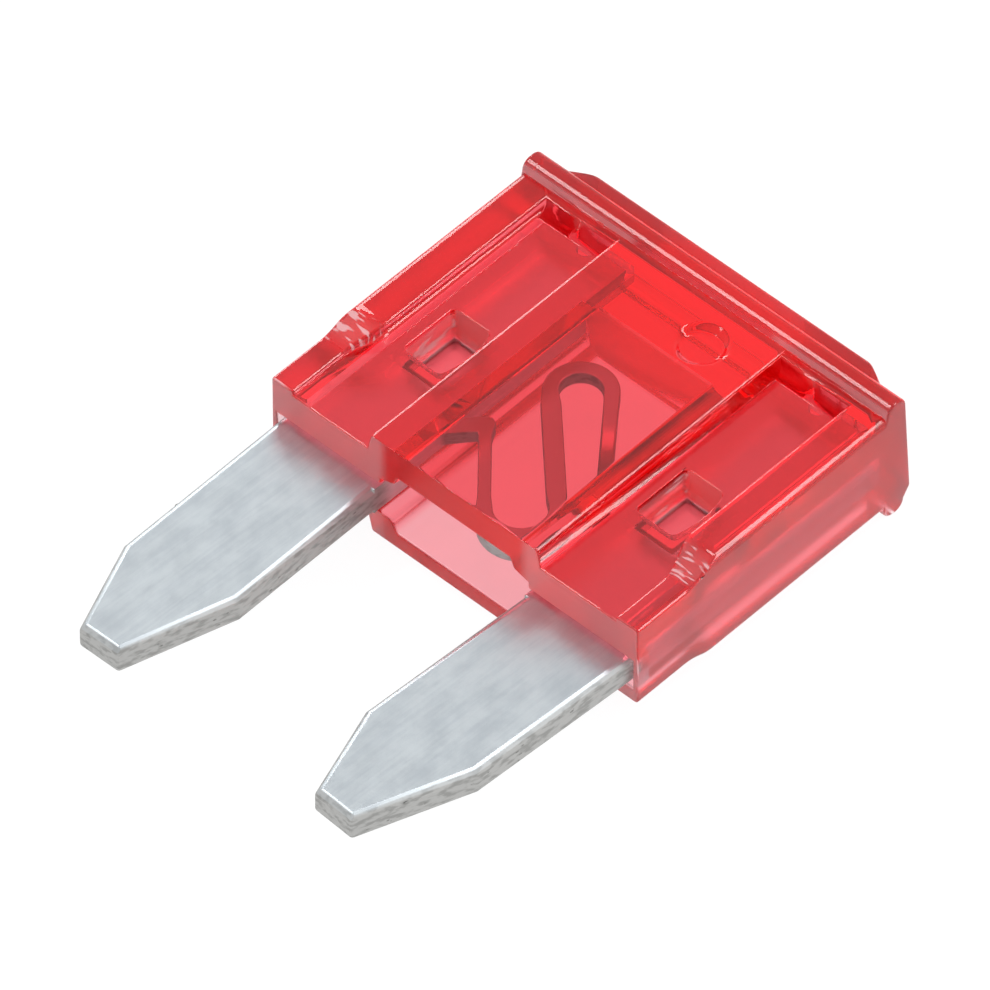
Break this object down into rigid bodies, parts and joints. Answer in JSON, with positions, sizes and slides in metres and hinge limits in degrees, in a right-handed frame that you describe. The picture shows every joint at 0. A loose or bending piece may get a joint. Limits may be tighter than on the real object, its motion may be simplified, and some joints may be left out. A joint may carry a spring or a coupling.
{
  "type": "automotive blade fuse",
  "caption": "Automotive mini blade fuse: flat housing of clear red plastic with a gripping lip, around a stamped zinc strip with tapered blades and an S-shaped link.",
  "frame": {"origin": "centre of the fuse's outline, at the level of the lower gripping lip's lowest line, which is what it lies on", "axes": "+X across the two blades, +Y from the blade tips to the gripping head, +Z through the thickness, towards the face with the stake pockets"},
  "size_m": [0.011, 0.0164, 0.0036],
  "materials": {
    "clear_red": "clear, glossy",
    "zinc": "rolled zinc, fine lines along the blades"
  },
  "bodies": {
    "root": {"housing": "clear_red", "fuse_element": "zinc"}
  },
  "joints": []
}
